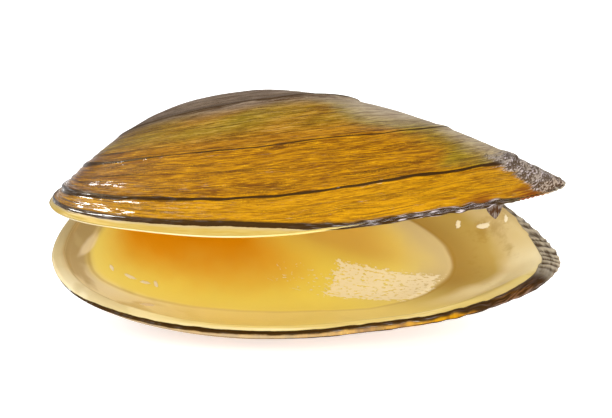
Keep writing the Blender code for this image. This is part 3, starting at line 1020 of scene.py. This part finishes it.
class MUSSEL_OT_skin_scrap(bpy.types.Operator):
    """Hang a scrap of dried skin from the upper valve's rear margin"""

    bl_idname = "mussel.skin_scrap"
    bl_label = "Skin Scrap"

    def execute(self, context):
        scene = context.scene
        bm = bmesh.new()
        bmesh.ops.create_grid(bm, x_segments=14, y_segments=12, size=0.5)
        place = valve_place(1)
        for vertex in bm.verts:
            across, down = vertex.co.x + 0.5, 0.5 - vertex.co.y
            edge, wave = dome_points(np.array([SCRAP_START + SCRAP_SPAN * across]), np.ones(1))
            edge = Vector(edge[0]) + Vector((0, 0, wave[0]))
            half = SCRAP_TIP if across < SCRAP_TIP else 1 - SCRAP_TIP
            tip = max(1 - abs(across - SCRAP_TIP) / half, 0)
            fall = scene.mussel_form.scrap * (0.15 + 0.85 * tip ** 0.7) * down
            curl = 0.0003 * math.sin(9 * across + 3 * down) * down
            inward = 0.0006 - 0.0004 * down
            taper = (0.5 - across) * SCRAP_TAPER * down
            hang = Vector((taper, curl + inward, 0.0004 * (1 - down) - fall))
            vertex.co = place @ edge + hang
        bmesh.ops.solidify(bm, geom=bm.faces[:], thickness=SCRAP_WALL)
        bmesh.ops.recalc_face_normals(bm, faces=bm.faces)
        piece = mesh_object("skin_scrap", bm)
        dress(piece, scrap_material(scene.mussel_colours))
        return {"FINISHED"}


class MUSSEL_OT_lower_valve(bpy.types.Operator):
    """Build the lower valve, hollow side up"""

    bl_idname = "mussel.lower_valve"
    bl_label = "Lower Valve"

    def execute(self, context):
        scene = context.scene
        piece = make_valve("lower_valve", -1, scene.mussel_form)
        dress(piece, shell_material("lower_shell", scene.mussel_colours, False))
        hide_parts("right_valve")
        return {"FINISHED"}


class MUSSEL_OT_ligament(bpy.types.Operator):
    """Build the ligament along the hinge"""

    bl_idname = "mussel.ligament"
    bl_label = "Ligament"

    def execute(self, context):
        bm = bmesh.new()
        bmesh.ops.create_uvsphere(bm, u_segments=48, v_segments=96, radius=0.5)
        place = valve_place(0)
        for vertex in bm.verts:
            across, out, along = vertex.co
            wave = 1 + 0.06 * math.sin(110 * along) * math.cos(7 * across)
            fibre = 1 - 0.05 * abs(math.sin(31 * across))
            bulge = LIGAMENT_BEHIND * wave * fibre if out > 0 else LIGAMENT_BEFORE
            vertex.co = place @ Vector((
                LIGAMENT_MIDDLE + LIGAMENT_LENGTH * along, LIGAMENT_SHIFT + bulge * out,
                -LIGAMENT_HEIGHT * across * wave))
        piece = mesh_object("ligament_band", bm)
        dress(piece, ligament_material(context.scene.mussel_colours))
        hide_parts("ligament")
        return {"FINISHED"}


class MUSSEL_OT_stage(bpy.types.Operator):
    """Set the floor, the lights and the camera"""

    bl_idname = "mussel.stage"
    bl_label = "Stage"

    def execute(self, context):
        scene = context.scene
        form = scene.mussel_stage
        bm = bmesh.new()
        bmesh.ops.create_grid(bm, x_segments=1, y_segments=1, size=form.floor_width / 2)
        floor = mesh_object("floor", bm)
        shade = Shade("floor_white")
        cloud = shade.noise(shade.place(), scale=3, detail=1)
        colour = shade.mix(cloud, (0.90, 0.90, 0.90), (0.93, 0.93, 0.93))
        floor.data.materials.append(shade.finish(
            colour, 0.6, Specular_IOR_Level=0.2, Emission_Color=(1, 1, 1),
            Emission_Strength=form.floor_glow))
        for name in LIGHTS:
            self.light(scene, name, getattr(form, name), *LIGHTS[name])
        scene.objects["gloss_strip"].visible_diffuse = False
        self.sky(scene, form.sky)
        self.camera(scene, form.lens)
        scene.view_settings.view_transform = "Standard"
        scene.view_settings.look = "None"
        return {"FINISHED"}

    def light(self, scene, name, power, aim, azimuth, elevation, distance, size, turn):
        """Soft light that faces a point from an azimuth and an elevation."""
        lamp = bpy.data.lights.new(name, "AREA")
        lamp.shape = "RECTANGLE"
        lamp.size, lamp.size_y = size
        lamp.energy = power
        holder = bpy.data.objects.new(name, lamp)
        scene.collection.objects.link(holder)
        away = direction(math.radians(azimuth), math.radians(elevation))
        holder.location = Vector(aim) + away * distance
        facing = away.to_track_quat("Z", "Y") @ Quaternion((0, 0, 1), math.radians(turn))
        holder.rotation_euler = facing.to_euler()

    def sky(self, scene, strength):
        """Even white light, brighter where the camera sees it than on the shell."""
        world = bpy.data.worlds.new("white_studio")
        world.use_nodes = True
        tree = world.node_tree
        ground = tree.nodes["Background"]
        ground.inputs["Color"].default_value = (1, 1, 1, 1)
        path = tree.nodes.new("ShaderNodeLightPath")
        amount = tree.nodes.new("ShaderNodeMapRange")
        amount.inputs["To Min"].default_value = strength
        amount.inputs["To Max"].default_value = SKY_SEEN
        tree.links.new(path.outputs["Is Camera Ray"], amount.inputs["Value"])
        tree.links.new(amount.outputs[0], ground.inputs["Strength"])
        scene.world = world

    def camera(self, scene, lens):
        """Camera a little above the shell, before the gape, turned towards its rear end."""
        azimuth, elevation, roll = (math.radians(angle) for angle in CAMERA_TURN)
        back = direction(azimuth, elevation)
        level = Vector((math.cos(azimuth), math.sin(azimuth), 0))
        upright = back.cross(level)
        right = level * math.cos(roll) + upright * math.sin(roll)
        up = upright * math.cos(roll) - level * math.sin(roll)
        holder = bpy.data.objects.new("camera", bpy.data.cameras.new("camera"))
        scene.collection.objects.link(holder)
        holder.data.lens = lens
        holder.data.sensor_width = CAMERA_SENSOR
        turned = Matrix((right, up, back)).transposed()
        spot = Vector(CAMERA_AIM) + back * CAMERA_DISTANCE
        holder.matrix_world = Matrix.Translation(spot) @ turned.to_4x4()
        scene.camera = holder


class MUSSEL_PT_panel(bpy.types.Panel):
    """Sidebar panel of the shell's operators and settings"""

    bl_idname = "MUSSEL_PT_panel"
    bl_label = "Mussel Shell"
    bl_space_type = "VIEW_3D"
    bl_region_type = "UI"
    bl_category = "Mussel Shell"

    def draw(self, context):
        for operator in OPERATORS:
            self.layout.operator(operator.bl_idname)
        for name, group in GROUPS.items():
            box = self.layout.box()
            for key in group.__annotations__:
                box.prop(getattr(context.scene, name), key)


GROUPS = {"mussel_form": MusselForm, "mussel_colours": MusselColours, "mussel_stage": MusselStage}
OPERATORS = (
    MUSSEL_OT_upper_valve, MUSSEL_OT_skin_scrap, MUSSEL_OT_lower_valve, MUSSEL_OT_ligament,
    MUSSEL_OT_stage,
)

CLASSES = (*GROUPS.values(), *OPERATORS, MUSSEL_PT_panel)


def register():
    for item in CLASSES:
        bpy.utils.register_class(item)
    for name, group in GROUPS.items():
        setattr(bpy.types.Scene, name, PointerProperty(type=group))


def unregister():
    for name in GROUPS:
        delattr(bpy.types.Scene, name)
    for item in reversed(CLASSES):
        bpy.utils.unregister_class(item)


def main():
    """Register the add-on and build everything."""
    register()
    bpy.ops.mussel.upper_valve()
    bpy.ops.mussel.skin_scrap()
    bpy.ops.mussel.lower_valve()
    bpy.ops.mussel.ligament()
    bpy.ops.mussel.stage()


if __name__ == "__main__":
    main()
